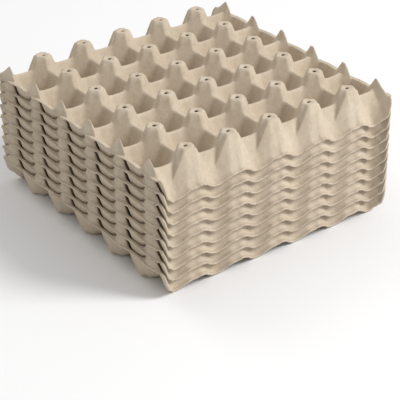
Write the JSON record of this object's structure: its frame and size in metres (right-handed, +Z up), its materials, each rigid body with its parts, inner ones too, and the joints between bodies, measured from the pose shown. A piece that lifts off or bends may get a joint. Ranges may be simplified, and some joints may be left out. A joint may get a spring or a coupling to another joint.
{
  "type": "stack of egg trays",
  "caption": "Stack of identical moulded pulp egg trays nested in one another, with rows of open cups between hollow posts.",
  "frame": {"origin": "on the ground under the middle of the stack", "axes": "+X along the rows of six cups, +Y along the rows of five cups, +Z up out of the cups"},
  "size_m": [0.292, 0.2962, 0.1452],
  "materials": {
    "pulp": "matte, fibrous"
  },
  "bodies": {
    "root": {"egg_tray_1": "pulp", "egg_tray_2": "pulp", "egg_tray_3": "pulp", "egg_tray_4": "pulp", "egg_tray_5": "pulp", "egg_tray_6": "pulp", "egg_tray_7": "pulp", "egg_tray_8": "pulp", "egg_tray_9": "pulp"}
  },
  "joints": []
}
